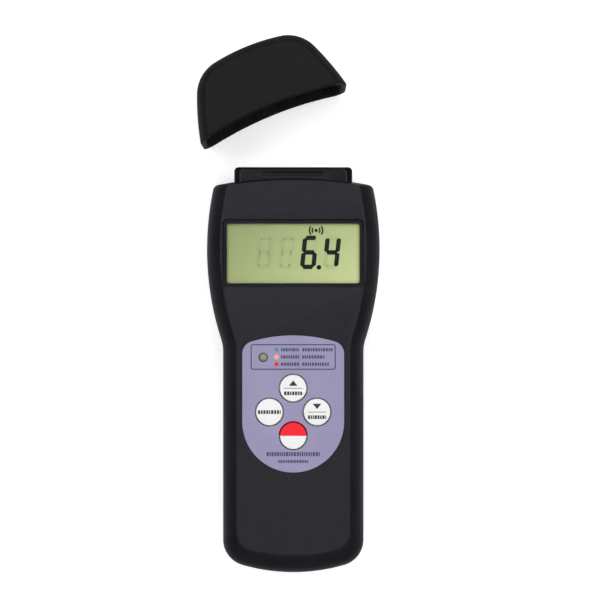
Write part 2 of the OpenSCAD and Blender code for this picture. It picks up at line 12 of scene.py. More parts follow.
import bmesh
import bpy
import numpy as np
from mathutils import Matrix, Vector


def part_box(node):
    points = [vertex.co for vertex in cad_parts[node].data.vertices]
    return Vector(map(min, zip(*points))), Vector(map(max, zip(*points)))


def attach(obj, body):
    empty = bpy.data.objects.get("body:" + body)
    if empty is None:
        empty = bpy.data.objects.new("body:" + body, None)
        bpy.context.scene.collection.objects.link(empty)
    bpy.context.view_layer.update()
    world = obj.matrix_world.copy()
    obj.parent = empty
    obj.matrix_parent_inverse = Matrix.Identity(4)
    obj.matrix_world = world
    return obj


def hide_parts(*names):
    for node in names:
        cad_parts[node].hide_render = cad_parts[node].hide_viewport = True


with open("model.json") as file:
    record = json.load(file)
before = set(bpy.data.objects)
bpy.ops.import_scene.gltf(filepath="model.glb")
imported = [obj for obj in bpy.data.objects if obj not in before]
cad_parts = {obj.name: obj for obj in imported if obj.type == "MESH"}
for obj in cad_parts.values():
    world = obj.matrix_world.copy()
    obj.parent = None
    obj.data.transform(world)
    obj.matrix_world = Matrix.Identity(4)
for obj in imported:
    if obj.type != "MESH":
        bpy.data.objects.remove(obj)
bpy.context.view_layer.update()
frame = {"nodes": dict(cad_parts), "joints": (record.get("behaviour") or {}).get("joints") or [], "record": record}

MM = 0.001
SLOT_OF = {part["node"]: part["material_slot"] for part in frame["record"]["subparts"]}
BODY_OF = {node: body for body, nodes in frame["record"]["behaviour"]["bodies"].items() for node in nodes}

# %% [markdown]
# ## Camera, floor and light
# The meter lies on its back and is seen from straight above with a long lens. Light comes
# from four large soft panels high up round the camera. None stands where the lens or the
# flat front would mirror it, and the surroundings stay dark in mirror rays, so the sloping
# edges of the case read darker than its face, as they do in a studio.

# %% Camera
VIEW_CENTRE = (2.4, 28.5)
VIEW_HEIGHT = 433.0
camera_data = bpy.data.cameras.new("camera")
camera_data.lens = 69.3
camera_data.clip_start = 0.01
camera = bpy.data.objects.new("camera", camera_data)
camera.location = (VIEW_CENTRE[0] * MM, VIEW_CENTRE[1] * MM, VIEW_HEIGHT * MM)
bpy.context.scene.collection.objects.link(camera)
bpy.context.scene.camera = camera
print("camera at", tuple(round(v, 3) for v in camera.location))

# %% Floor and light
def soft_panel(name, place, size, power):
    """A square area light of a given size in metres, turned to face the meter."""
    data = bpy.data.lights.new(name, "AREA")
    data.shape = "SQUARE"
    data.size = size
    data.energy = power
    light = bpy.data.objects.new(name, data)
    light.location = place
    aim = camera.location.copy()
    aim.z = 0.0
    light.rotation_euler = (aim - light.location).to_track_quat("-Z", "Y").to_euler()
    bpy.context.scene.collection.objects.link(light)
    return light


PANELS = {
    "panel_left": ((-0.75, 0.30, 1.35), 0.85, 7.6),
    "panel_right": ((0.80, 0.20, 1.35), 0.85, 8.2),
    "panel_far": ((0.10, 1.05, 1.35), 0.85, 7.2),
    "panel_near": ((0.0, -0.90, 1.35), 0.85, 6.0),
}
for name, (place, size, power) in PANELS.items():
    soft_panel(name, place, size, power)

world = bpy.data.worlds.new("studio")
world.use_nodes = True
world.node_tree.nodes["Background"].inputs["Color"].default_value = (1, 1, 1, 1)
sky = world.node_tree.nodes["Background"]
rays = world.node_tree.nodes.new("ShaderNodeLightPath")
mirror_dim = world.node_tree.nodes.new("ShaderNodeMapRange")
mirror_dim.inputs["To Min"].default_value = 0.09
mirror_dim.inputs["To Max"].default_value = 0.03
world.node_tree.links.new(rays.outputs["Is Glossy Ray"], mirror_dim.inputs["Value"])
world.node_tree.links.new(mirror_dim.outputs["Result"], sky.inputs["Strength"])
bpy.context.scene.world = world
bpy.context.scene.view_settings.view_transform = "Standard"
print(len(PANELS), "panels")

# %% [markdown]
# ## Finishes
# Real moulded plastic is never one flat colour: the mould leaves a fine grain, handling
# polishes the edges, and the tone drifts a little across a large face. Two node groups hold
# these effects, and each material places them with its own values.

# %% Node groups
def new_group(name, inputs, outputs):
    """A shader node group with named sockets: inputs are (name, value), outputs are names."""
    tree = bpy.data.node_groups.new(name, "ShaderNodeTree")
    for label, value in inputs:
        socket = tree.interface.new_socket(label, in_out="INPUT", socket_type="NodeSocketFloat")
        socket.default_value = value
    for label in outputs:
        tree.interface.new_socket(label, in_out="OUTPUT", socket_type="NodeSocketFloat")
    return tree, tree.nodes.new("NodeGroupInput"), tree.nodes.new("NodeGroupOutput")


def math_node(tree, operation, *values):
    """A math node whose inputs are sockets or numbers."""
    node = tree.nodes.new("ShaderNodeMath")
    node.operation = operation
    for slot, value in zip(node.inputs, values):
        if isinstance(value, (int, float)):
            slot.default_value = value
        else:
            tree.links.new(value, slot)
    return node.outputs[0]


def noise(tree, cell, detail=2.0):
    """Noise on Object coordinates whose cells are `cell` millimetres, a socket or a number."""
    coords = tree.nodes.new("ShaderNodeTexCoord")
    pattern = tree.nodes.new("ShaderNodeTexNoise")
    pattern.inputs["Detail"].default_value = detail
    tree.links.new(coords.outputs["Object"], pattern.inputs["Vector"])
    tree.links.new(math_node(tree, "DIVIDE", 1000.0, cell), pattern.inputs["Scale"])
    return pattern.outputs["Fac"]


def make_grain():
    """Fine mould grain: its height, and a slow drift of tone across the piece."""
    tree, given, result = new_group("moulded_grain", [("Cell", 0.4), ("Drift", 14.0)], ["Height", "Tone"])
    tree.links.new(noise(tree, given.outputs["Cell"], 3.0), result.inputs["Height"])
    slow = noise(tree, given.outputs["Drift"], 4.0)
    spread = math_node(tree, "MULTIPLY_ADD", slow, 2.2, -0.6)
    tree.links.new(spread, result.inputs["Tone"])
    return tree


def make_wear():
    """Handling wear: a mask that is high on outward edges, broken up by noise."""
    tree, given, result = new_group("edge_wear", [("Amount", 0.5)], ["Mask"])
    surface = tree.nodes.new("ShaderNodeNewGeometry")
    edge = math_node(tree, "MULTIPLY_ADD", surface.outputs["Pointiness"], 9.0, -4.75)
    edge.node.use_clamp = True
    patches = math_node(tree, "MULTIPLY_ADD", noise(tree, 1.6, 3.0), 2.4, -0.7)
    patches.node.use_clamp = True
    mask = math_node(tree, "MULTIPLY", edge, patches)
    tree.links.new(math_node(tree, "MULTIPLY", mask, given.outputs["Amount"]), result.inputs["Mask"])
    return tree


GRAIN = make_grain()
WEAR = make_wear()
print("groups:", GRAIN.name, WEAR.name)

# %% Materials from the groups
def place_group(tree, group, **values):
    """Places a node group in a material and sets its inputs."""
    node = tree.nodes.new("ShaderNodeGroup")
    node.node_tree = group
    for label, value in values.items():
        node.inputs[label].default_value = value
    return node


def mix_colour(tree, share, first, second):
    """A colour between two others; each is a socket or three numbers."""
    node = tree.nodes.new("ShaderNodeMix")
    node.data_type = "RGBA"
    tree.links.new(share, node.inputs["Factor"])
    for label, value in (("A", first), ("B", second)):
        slot = [s for s in node.inputs if s.name == label and s.type == "RGBA"][0]
        if isinstance(value, bpy.types.NodeSocket):
            tree.links.new(value, slot)
        else:
            slot.default_value = (*value, 1.0)
    return [s for s in node.outputs if s.type == "RGBA"][0]


def map_range(tree, value, low, high):
    """Maps 0..1 to low..high, held within them."""
    node = tree.nodes.new("ShaderNodeMapRange")
    node.inputs["To Min"].default_value = low
    node.inputs["To Max"].default_value = high
    tree.links.new(value, node.inputs["Value"])
    return node.outputs["Result"]


FINISHES = {}


def finish(name, colour, rough, cell=0.4, relief=0.25, tone=0.12, wear=0.0, worn=None, drift=14.0,
           metallic=0.0, specular=0.5, paint=None):
    """Puts a material into FINISHES: colour drifts by `tone`, roughness with it, grain stands up
    by `relief`, and edges take the colour `worn`. `paint` may return another base colour."""
    material = bpy.data.materials.new(name)
    material.use_nodes = True
    tree = material.node_tree
    shader = tree.nodes["Principled BSDF"]
    shader.inputs["Metallic"].default_value = metallic
    shader.inputs["Specular IOR Level"].default_value = specular
    grain = place_group(tree, GRAIN, Cell=cell, Drift=drift)
    dark = [c * (1 - tone) for c in colour]
    light = [min(c * (1 + tone), 1.0) for c in colour]
    base = mix_colour(tree, grain.outputs["Tone"], dark, light)
    if paint:
        base = paint(tree, base)
    if wear:
        mask = place_group(tree, WEAR, Amount=wear).outputs["Mask"]
        base = mix_colour(tree, mask, base, worn or [min(c * 2.5 + 0.02, 1) for c in colour])
    tree.links.new(base, shader.inputs["Base Color"])
    sheen = map_range(tree, grain.outputs["Tone"], rough * 0.86, rough * 1.14)
    tree.links.new(sheen, shader.inputs["Roughness"])
    bump = tree.nodes.new("ShaderNodeBump")
    bump.inputs["Strength"].default_value = relief
    bump.inputs["Distance"].default_value = 0.00016
    tree.links.new(grain.outputs["Height"], bump.inputs["Height"])
    tree.links.new(bump.outputs["Normal"], shader.inputs["Normal"])
    FINISHES[name] = material


def across(tree, axis, low, high):
    """0 to 1 along an Object axis between two places in millimetres."""
    coords = tree.nodes.new("ShaderNodeTexCoord")
    split = tree.nodes.new("ShaderNodeSeparateXYZ")
    tree.links.new(coords.outputs["Object"], split.inputs["Vector"])
    node = tree.nodes.new("ShaderNodeMapRange")
    node.inputs["From Min"].default_value = low * MM
    node.inputs["From Max"].default_value = high * MM
    tree.links.new(split.outputs[axis], node.inputs["Value"])
    return node.outputs["Result"]


def multiplied(tree, first, second):
    """The product of two colours."""
    node = tree.nodes.new("ShaderNodeMix")
    node.data_type = "RGBA"
    node.blend_type = "MULTIPLY"
    node.inputs["Factor"].default_value = 1.0
    a, b = [s for s in node.inputs if s.type == "RGBA"]
    tree.links.new(first, a)
    tree.links.new(second, b)
    return [s for s in node.outputs if s.type == "RGBA"][0]


def display_painted_shade(tree, base):
    """Painted shade and light on the display's green: darker and browner at its left and upper side, lighter at
    its right.
    """
    # painted shade towards the left, painted light towards the right
    side = mix_colour(tree, across(tree, "X", -24, 22), (0.74, 0.76, 0.72), (1.24, 1.24, 1.32))
    # painted shade towards the top
    top_shade = mix_colour(tree, across(tree, "Y", 36, 55), (1.04, 1.04, 1.04), (0.84, 0.84, 0.82))
    return multiplied(tree, multiplied(tree, base, side), top_shade)


def board_paint(tree, base):
    """Copper tracks under green solder mask, as bands of a wavy pattern."""
    coords = tree.nodes.new("ShaderNodeTexCoord")
    bands = tree.nodes.new("ShaderNodeTexWave")
    bands.inputs["Scale"].default_value = 260.0
    bands.inputs["Distortion"].default_value = 3.0
    tree.links.new(coords.outputs["Object"], bands.inputs["Vector"])
    step = math_node(tree, "GREATER_THAN", bands.outputs["Fac"], 0.72)
    return mix_colour(tree, step, base, (0.06, 0.3, 0.1))


def power_paint(tree, base):
    """The upper half of the power key is red, down over its rim."""
    upper = across(tree, "Y", -19.45, -19.35)
    return mix_colour(tree, upper, base, (0.98, 0.012, 0.03))


finish("case_black", (0.0070, 0.0076, 0.0122), 0.42, 0.6, 1.0, 0.10, 0.35,
       (0.04, 0.042, 0.05), specular=0.27)
finish("cap_black", (0.0092, 0.0094, 0.0103), 0.5, 0.6, 1.0, 0.10, 0.35,
       (0.035, 0.036, 0.04), specular=0.11)
finish("sensor_black", (0.0050, 0.0052, 0.0068), 0.36, 0.3, 0.2, 0.08, 0.3,
       (0.03, 0.03, 0.033), specular=0.24)
# the display's green carries painted shade at its left and top and painted light at its right
finish("lcd_green", (0.455, 0.51, 0.222), 0.5, 0.3, 0.02, 0.02, paint=display_painted_shade)
finish("frame_grey", (0.05, 0.05, 0.055), 0.4, 0.3, 0.2)
finish("zebra_rubber", (0.62, 0.3, 0.36), 0.7, 0.3, 0.3)
finish("board_green", (0.02, 0.14, 0.06), 0.3, 0.6, 0.3, paint=board_paint)
finish("chip_black", (0.02, 0.02, 0.022), 0.5, 0.25, 0.4, 0.15, 0.4)
finish("capacitor_blue", (0.03, 0.05, 0.16), 0.3, 0.5, 0.1)
finish("trimmer_blue", (0.04, 0.16, 0.45), 0.35, 0.5, 0.1, 0.1, 0.3)
finish("label_lavender", (0.325, 0.295, 0.475), 0.42, 0.35, 0.12, 0.05)
finish("key_white", (0.93, 0.93, 0.93), 0.38, 0.5, 0.05, 0.02)
finish("key_power", (0.93, 0.93, 0.93), 0.45, 0.5, 0.05, 0.02, specular=0.3,
       paint=power_paint)
finish("plunger_ivory", (0.75, 0.72, 0.62), 0.45, 0.5, 0.1)
finish("led_diffuse", (0.27, 0.285, 0.20), 0.35, 0.3, 0.05, 0.08)
finish("contact_metal", (0.62, 0.6, 0.55), 0.3, 0.3, 0.2, 0.1, 0.3, (0.8, 0.78, 0.74),
       metallic=1.0)
finish("steel", (0.5, 0.51, 0.52), 0.3, 0.25, 0.25, 0.1, 0.4, (0.75, 0.75, 0.75), metallic=1.0)
finish("brass", (0.62, 0.5, 0.2), 0.32, 0.25, 0.2, 0.1, 0.4, (0.85, 0.75, 0.4), metallic=1.0)
finish("lead_grey", (0.25, 0.26, 0.28), 0.4, 0.4, 0.1)
finish("lead_red", (0.5, 0.03, 0.03), 0.4, 0.4, 0.1)
finish("plate_silver", (0.55, 0.56, 0.57), 0.35, 0.3, 0.3, 0.06, 0.4, (0.8, 0.8, 0.8),
       metallic=1.0)
finish("cell_sleeve", (0.05, 0.16, 0.09), 0.3, 0.5, 0.08, 0.06)
finish("ink_violet", (0.065, 0.055, 0.135), 0.5, 0.3, 0.1)
finish("ink_grey", (0.022, 0.022, 0.028), 0.5, 0.3, 0.1)
finish("ink_red", (0.98, 0.006, 0.022), 0.5, 0.3, 0.05, specular=0.2)
finish("ink_teal", (0.10, 0.27, 0.25), 0.5, 0.3, 0.05)
finish("ink_orange", (0.85, 0.42, 0.22), 0.5, 0.3, 0.05)
finish("segment_dark", (0.008, 0.014, 0.010), 0.6, 0.3, 0.02, specular=0.1)
# the idle bars take the same painted shade and light as the display
finish("segment_ghost", (0.415, 0.465, 0.203), 0.5, 0.3, 0.02, paint=display_painted_shade)


def clear_finish(name):
    """Clear acrylic: it lets shadow rays through, so that the display under it stays lit."""
    material = bpy.data.materials.new(name)
    material.use_nodes = True
    tree = material.node_tree
    shader = tree.nodes["Principled BSDF"]
    shader.inputs["Base Color"].default_value = (0.97, 0.99, 0.97, 1)
    shader.inputs["Transmission Weight"].default_value = 1.0
    shader.inputs["IOR"].default_value = 1.35
    grain = place_group(tree, GRAIN, Cell=3.0, Drift=25.0)
    tree.links.new(map_range(tree, grain.outputs["Tone"], 0.02, 0.07), shader.inputs["Roughness"])
    path = tree.nodes.new("ShaderNodeLightPath")
    through = tree.nodes.new("ShaderNodeBsdfTransparent")
    blend = tree.nodes.new("ShaderNodeMixShader")
    either = math_node(tree, "MAXIMUM", path.outputs["Is Shadow Ray"], path.outputs["Is Diffuse Ray"])
    tree.links.new(either, blend.inputs["Fac"])
    tree.links.new(shader.outputs[0], blend.inputs[1])
    tree.links.new(through.outputs[0], blend.inputs[2])
    tree.links.new(blend.outputs[0], tree.nodes["Material Output"].inputs["Surface"])
    return material


FINISHES["clear_lens"] = clear_finish("clear_lens")
print(len(FINISHES), "finishes and inks")

# %% The floor
def make_floor():
    """A pale floor far wider than the view. Mirror rays see it bright close to the meter
    and dark further away, as a lit table in a dark room."""
    material = bpy.data.materials.new("floor_pale")
    material.use_nodes = True
    tree = material.node_tree
    shader = tree.nodes["Principled BSDF"]
    shader.inputs["Roughness"].default_value = 0.9
    shader.inputs["Specular IOR Level"].default_value = 0.1
    coords = tree.nodes.new("ShaderNodeTexCoord")
    reach = tree.nodes.new("ShaderNodeVectorMath")
    reach.operation = "LENGTH"
    tree.links.new(coords.outputs["Object"], reach.inputs[0])
    near = tree.nodes.new("ShaderNodeMapRange")
    near.inputs["From Min"].default_value = 0.10
    near.inputs["From Max"].default_value = 0.22
    tree.links.new(reach.outputs["Value"], near.inputs["Value"])
    mirrored_tone = mix_colour(tree, near.outputs["Result"], (0.6, 0.6, 0.6), (0.04, 0.04, 0.045))
    path = tree.nodes.new("ShaderNodeLightPath")
    base = mix_colour(tree, path.outputs["Is Glossy Ray"], (0.95, 0.95, 0.95), mirrored_tone)
    tree.links.new(base, shader.inputs["Base Color"])
    shader.inputs["Emission Color"].default_value = (1, 1, 1, 1)
    lift = map_range(tree, path.outputs["Is Camera Ray"], 0.0, 0.45)
    tree.links.new(lift, shader.inputs["Emission Strength"])
    half = 3.0
    corners = [(-half, -half, 0), (half, -half, 0), (half, half, 0), (-half, half, 0)]
    mesh = bpy.data.meshes.new("floor")
    mesh.from_pydata(corners, [], [(0, 1, 2, 3)])
    mesh.materials.append(material)
    floor = bpy.data.objects.new("floor", mesh)
    floor.location.z = -0.00002
    bpy.context.scene.collection.objects.link(floor)


make_floor()

# %% [markdown]
# ## Shapes as stacked loops
# Nearly every piece here is a stack of closed loops: the case is its plan, moved inwards as
# it rises; a key is a stack of circles. A loop is an array of points worked out from arcs,
# and a stack becomes a closed skin by joining each loop to the next. Openings are cut with
# the Boolean modifier by other stacks, whose rounded mouths leave rounded edges.

# %% Loops
def arc(centre, radius, start, end, count):
    """Points along a circle from angle start to end in degrees, without the first."""
    angle = np.radians(start + (end - start) * np.arange(1, count + 1) / count)
    return np.asarray(centre) + radius * np.column_stack([np.cos(angle), np.sin(angle)])


def heading(a, b):
    """The direction from a to b in degrees."""
    return math.degrees(math.atan2(b[1] - a[1], b[0] - a[0]))


def meet(a, ra, b, rb):
    """Where circles about a and b cross, on the right of the line from a to b."""
    a, b = np.asarray(a, float), np.asarray(b, float)
    gap = np.linalg.norm(b - a)
    along = (ra * ra - rb * rb + gap * gap) / (2 * gap)
    off = math.sqrt(ra * ra - along * along)
    step = (b - a) / gap
    point = a + along * step + off * np.array([step[1], -step[0]])
    return np.array([abs(point[0]), point[1]])


def mirrored(side):
    """A closed loop from its right half, whose two ends lie on the centre line."""
    other = side[-2:0:-1] * [-1, 1]
    return np.vstack([side, other])


def round_rect(low, high, radius, count=8):
    """A rectangle with round corners between two opposite corners."""
    corners = [(high[0], low[1], -90), (high[0], high[1], 0), (low[0], high[1], 90), (low[0], low[1], 180)]
    inward = [(-1, 1), (-1, -1), (1, -1), (1, 1)]
    parts = []
    for (x, y, start), (sx, sy) in zip(corners, inward):
        centre = np.array([x + sx * radius, y + sy * radius])
        angle = np.radians(start + 90 * np.arange(count + 1) / count)
        parts.append(centre + radius * np.column_stack([np.cos(angle), np.sin(angle)]))
    return np.vstack(parts)


def circle(centre, radius, count=72):
    """A circle as a closed loop."""
    return arc(centre, radius, 0, 360, count)


# %% Skins
def stack(levels):
    """A closed skin through loops of equal length: levels are (loop, height), and each loop
    is joined to the next by four-sided faces; the first and the last are capped."""
    count = len(levels[0][0])
    points = np.vstack([np.column_stack([loop, np.full(count, z)]) for loop, z in levels])
    rows = np.arange(len(points)).reshape(len(levels), count)
    turned = np.roll(rows, -1, axis=1)
    walls = np.stack([rows[:-1], turned[:-1], turned[1:], rows[1:]], axis=-1).reshape(-1, 4)
    return points, walls.tolist() + [rows[0][::-1].tolist(), rows[-1].tolist()]


def band(outer, inner, low, high):
    """A flat ring between two loops: a stack that closes on itself."""
    loops = [(outer, low), (outer, high), (inner, high), (inner, low)]
    count = len(outer)
    points = np.vstack([np.column_stack([loop, np.full(count, z)]) for loop, z in loops])
    rows = np.arange(len(points)).reshape(4, count)
    turned = np.roll(rows, -1, axis=1)
    walls = np.stack([rows, turned, np.roll(turned, -1, axis=0), np.roll(rows, -1, axis=0)], axis=-1)
    return points, walls.reshape(-1, 4).tolist()


def box_skin(low, high, radius=0.0):
    """A box between two corners, with its upright edges rounded."""
    loop = round_rect(low[:2], high[:2], max(radius, 1e-4), 4 if radius else 1)
    return stack([(loop, low[2]), (loop, high[2])])


def joined(skins):
    """Several skins as one."""
    points, faces, start = [], [], 0
    for part_points, part_faces in skins:
        points.append(part_points)
        faces += [[i + start for i in face] for face in part_faces]
        start += len(part_points)
    return np.vstack(points), faces


def to_mesh(name, skin, weld=True):
    """A mesh from a skin in millimetres, its doubles merged and its faces turned outwards."""
    points, faces = skin
    mesh = bpy.data.meshes.new(name)
    mesh.from_pydata((points * MM).tolist(), [], faces)
    if weld:
        shape = bmesh.new()
        shape.from_mesh(mesh)
        bmesh.ops.remove_doubles(shape, verts=shape.verts, dist=1e-7)
        bmesh.ops.recalc_face_normals(shape, faces=shape.faces)
        shape.to_mesh(mesh)
        shape.free()
    return mesh


def rods(places, radius, low, high, count=72):
    """A straight upright round rod at each place, between two heights, as one skin."""
    return joined([stack([(circle(at, radius, count), z) for z in (low, high)]) for at in places])


def side_boxes(near, far, y, z):
    """The same box at the left and at the right, from near to far out from the centre line."""
    return joined([box_skin((x[0], y[0], z[0]), (x[1], y[1], z[1])) for x in ((-far, -near), (near, far))])


def carve(name, skin, steps):
    """A skin after Boolean steps; each step is ("DIFFERENCE", "UNION" or "INTERSECT", skin)."""
    work = bpy.data.objects.new(name + "_work", to_mesh(name + "_work", skin))
    bpy.context.scene.collection.objects.link(work)
    tools = []
    for operation, tool_skin in steps:
        tool = bpy.data.objects.new(name + "_tool", to_mesh(name + "_tool", tool_skin))
        bpy.context.scene.collection.objects.link(tool)
        step = work.modifiers.new(operation.lower(), "BOOLEAN")
        step.operation = operation
        step.solver = "EXACT"
        step.object = tool
        tools.append(tool)
    bpy.context.view_layer.update()
    mesh = bpy.data.meshes.new_from_object(work.evaluated_get(bpy.context.evaluated_depsgraph_get()))
    for old in tools + [work]:
        bpy.data.objects.remove(old)
    return mesh


def place(name, mesh, nodes, material, crease=20, body=None, slot=None):
    """Makes a mesh a piece of the meter. It stands for the CAD nodes named, or for none.
    Steps of more than `crease` degrees stay sharp, so that wide flats shade flat."""
    piece = bpy.data.objects.new(name, mesh)
    bpy.context.scene.collection.objects.link(piece)
    mesh.materials.clear()
    mesh.materials.append(material)
    mesh.shade_smooth()
    mesh.set_sharp_from_angle(angle=math.radians(crease))
    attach(piece, body or BODY_OF[nodes[0]])
    if nodes:
        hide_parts(*nodes)
    print(name, len(mesh.polygons), "faces")
    return piece


# %% [markdown]
# ## The case's plan
# Seen from above, the case is two large side arcs at the head, a hollow waist, a straight
# grip and bowed ends. The same arcs, moved inwards by different amounts at the sides, the
# lower end and the head, give every level of both shells.

# %% The plan
CASE_LOW, CASE_HIGH = (np.array(corner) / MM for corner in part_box("front_case"))
CASE_T = CASE_HIGH[2]
SPLIT_Z = CASE_LOW[2]
TOP_Y = 72.4
END_Y = CASE_LOW[1]
HEAD_HW = CASE_HIGH[0]
GRIP_HW = 25.2
HEAD_R = 105.0
HEAD_C = np.array([HEAD_HW - HEAD_R, 46.7])
WAIST_R = 14.0
BOW_R = 66.0
TOP_R = 140.0
CORNER_R = 9.5
TIP_R = 2.2
WALL = 2.2
FRONT_IN = np.array([5.2, 7.8, 1.5])
BACK_IN = np.array([3.0, 4.5, 1.0])


def case_plan(moved):
    """The case's plan moved in by (sides, lower end, head): a bow, a corner, the grip's
    straight, the waist, the head's arc, a tip and the top bow, then the mirror image."""
    side, end, top = moved
    grip = GRIP_HW - side
    waist_x = GRIP_HW + WAIST_R
    waist = np.array([waist_x, HEAD_C[1] - math.sqrt((HEAD_R + WAIST_R) ** 2 - (waist_x - HEAD_C[0]) ** 2)])
    waist_angle = heading(waist, HEAD_C)
    corner_r = max(CORNER_R - side * 0.6, 1.0)
    bow = np.array([0.0, END_Y + end + BOW_R])
    corner_x = grip - corner_r
    corner = np.array([corner_x, bow[1] - math.sqrt((BOW_R - corner_r) ** 2 - corner_x ** 2)])
    bow_angle = heading(bow, corner)
    tip_r = max(TIP_R - top, 0.8)
    crown = np.array([0.0, TOP_Y - top - TOP_R])
    tip = meet(crown, TOP_R - tip_r, HEAD_C, HEAD_R - side - tip_r)
    straight = np.linspace(corner[1], waist[1], 13)[1:]
    return mirrored(np.vstack([
        bow - [0, BOW_R],
        arc(bow, BOW_R, -90, bow_angle, 14),
        arc(corner, corner_r, bow_angle, 0, 20),
        np.column_stack([np.full(12, grip), straight]),
        arc(waist, WAIST_R + side, 180, waist_angle, 12),
        arc(HEAD_C, HEAD_R - side, waist_angle - 180, heading(HEAD_C, tip), 36),
        arc(tip, tip_r, heading(HEAD_C, tip), heading(crown, tip), 10),
        arc(crown, TOP_R, heading(crown, tip), 90, 18),
    ]))


print("plan of", len(case_plan((0, 0, 0))), "points,",
      round(float(END_Y), 1), "to", round(float(TOP_Y), 1), "mm")

# %% The bevels
def bend(start, corner, end, count):
    """A short curve that rounds a corner: the quadratic curve start, corner, end."""
    t = np.linspace(0, 1, count)[:, None]
    start, corner, end = (np.asarray(p, float) for p in (start, corner, end))
    return (1 - t) ** 2 * start + 2 * t * (1 - t) * corner + t ** 2 * end


def front_bevel():
    """(share of the inset, height) up the front: the share is a parabola of the height over
    the last 7 mm, and the edge of the flat is rounded."""
    t = np.linspace(0, 0.955, 16)
    slope = np.column_stack([0.15 * t + 0.85 * t * t, CASE_T - 7 + 7 * t])
    edge = bend(slope[-1], (1.0, CASE_T), (1.06, CASE_T), 6)[1:]
    return np.vstack([slope, edge, [[1.12, CASE_T]]])


def back_bevel():
    """(share of the inset, height) from the back's flat up to 5 mm, a parabola again."""
    z = np.linspace(0.35, 5, 12)
    slope = np.column_stack([((5 - z) / 5) ** 2, z])
    edge = bend((1.12, 0.0), (1.0, 0.0), slope[0], 6)
    return np.vstack([[[1.2, 0.0]], edge, slope[1:]])


FRONT = front_bevel()
BACK = back_bevel()
print(len(FRONT), "levels in the front bevel,", len(BACK), "in the back one")

# %% [markdown]
# ## The front shell
# One closed skin runs up the inside, over the rim and up the outside to the flat. The
# window's step, the shallow seat of the label, the key holes and the lamp hole are then cut
# from it, so that every rim has a real thickness and a small rounded edge.

# %% The openings in the front
VIEW_Y = 45.0
VIEW_HALF = np.array([23.5, 10.55])
LEDGE = 1.4
KEY_Y = -11.0
KEY_PITCH = 8.4
KEY_HOLE_R = 5.15
KEYS = {"hold": (0, 1), "select": (-1, 0), "zero": (1, 0), "power": (0, -1)}
KEY_AT = {name: np.array([0, KEY_Y]) + KEY_PITCH * np.array(way) for name, way in KEYS.items()}
LAMP_AT = np.array([-10.6, 8.25])
LAMP_R = 1.5
SEAT_Z = CASE_T - 0.35


def view_loop(grow):
    """The display's opening, made larger by grow."""
    half = VIEW_HALF + grow
    return round_rect((-half[0], VIEW_Y - half[1]), (half[0], VIEW_Y + half[1]), 0.8 + max(grow, 0) * 0.5)


def label_loop(grow=0.0):
    """The label's edge: round below, straight at the sides, bowed above."""
    half, radius, bow_r, corner_r = 18.0 + grow, 18.0 + grow, 52.0 + grow, 4.5 + grow
    bow = np.array([0.0, 16.0 - 52.0])
    corner_x = half - corner_r
    corner = np.array([corner_x, bow[1] + math.sqrt((bow_r - corner_r) ** 2 - corner_x ** 2)])
    low_end = np.array([0.0, -32.4 + 18.0])
    return mirrored(np.vstack([
        low_end - [0, radius],
        arc(low_end, radius, -90, 0, 40),
        arc(corner, corner_r, 0, heading(bow, corner), 12),
        arc(bow, bow_r, heading(bow, corner), 90, 20),
    ]))


def rounded_mouth(loop_at, floor, top, radius):
    """A cutter that goes down to floor, and whose mouth flares by radius at top."""
    angle = np.radians(np.linspace(0, 90, 5))
    flare = [(loop_at(radius * (1 - math.cos(a))), top - radius + radius * math.sin(a)) for a in angle]
    return stack([(loop_at(0.0), floor)] + flare + [(loop_at(radius), top + 1.0)])


def front_shell():
    """The skin: ceiling, inner wall, groove for the rear shell's lip, rim, outside, flat."""
    groove = 1.15
    levels = [
        (case_plan((4.5, 7.8, 3.0)), CASE_T - WALL),
        (case_plan((WALL,) * 3), 18.4),
        (case_plan((WALL,) * 3), SPLIT_Z + 1.3),
        (case_plan((groove,) * 3), SPLIT_Z + 1.3),
        (case_plan((groove,) * 3), SPLIT_Z),
        (case_plan((0.22,) * 3), SPLIT_Z),
        (case_plan((0.06,) * 3), SPLIT_Z + 0.1),
        (case_plan((0.0,) * 3), SPLIT_Z + 0.3),
    ]
    return stack(levels + [(case_plan(FRONT_IN * share), z) for share, z in FRONT])


BLOCK_HIGH = np.array(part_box("sensor_block")[1]) / MM
BLOCK_HW = 21.1
LAMP_HOLE_R = LAMP_R + 0.15
HOLE_LOW = 20.0
HOLE_HIGH = CASE_T - 0.1
POSTS = [(24.4, 63.2), (-24.4, 63.2), (16.0, -60.5), (-16.0, -60.5)]
POST_R = 2.8
POST_TOP = CASE_T - 3
BLOCK_PASS = box_skin((-BLOCK_HW - 0.2, 60, 3.1), (BLOCK_HW + 0.2, 80, 22.5), 1.6)
front_steps = [
    ("DIFFERENCE", BLOCK_PASS),
    ("DIFFERENCE", rounded_mouth(lambda g: view_loop(LEDGE + g), CASE_T - 1.2, CASE_T, 0.22)),
    ("DIFFERENCE", stack([(view_loop(0.0), HOLE_LOW), (view_loop(0.0), CASE_T - 0.5)])),
    ("DIFFERENCE", rounded_mouth(lambda g: label_loop(0.1 + g), SEAT_Z, CASE_T, 0.12)),
    ("DIFFERENCE", joined([rods(KEY_AT.values(), KEY_HOLE_R, HOLE_LOW, HOLE_HIGH),
                           rods([LAMP_AT], LAMP_HOLE_R, HOLE_LOW, HOLE_HIGH)])),
    ("UNION", rods(POSTS, POST_R, SPLIT_Z + 0.2, POST_TOP, 32)),
]
place("front_case", carve("front_case", front_shell(), front_steps), ["front_case"], FINISHES["case_black"])

# %% [markdown]
# ## The rear shell and the battery door
# The rear shell is a shallow tub with a lip that the front fits over. In its grip stands
# the battery bay, and the door closes it from below: it is cut from the same rounded
# outside, so door and shell run on. The six grooves of its thumb pad are cut with round bars.

# %% The rear shell
DOOR_HW = 21.2
DOOR_TOP_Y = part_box("battery_door")[1].y / MM
DOOR_Z = 1.9
BAY_HW = 21.4
BAY_Y = (-55.6, -6.4)
BAY_WALL = 1.2
ROOF_Z = (13.0, 14.2)
LIP_IN = 1.25


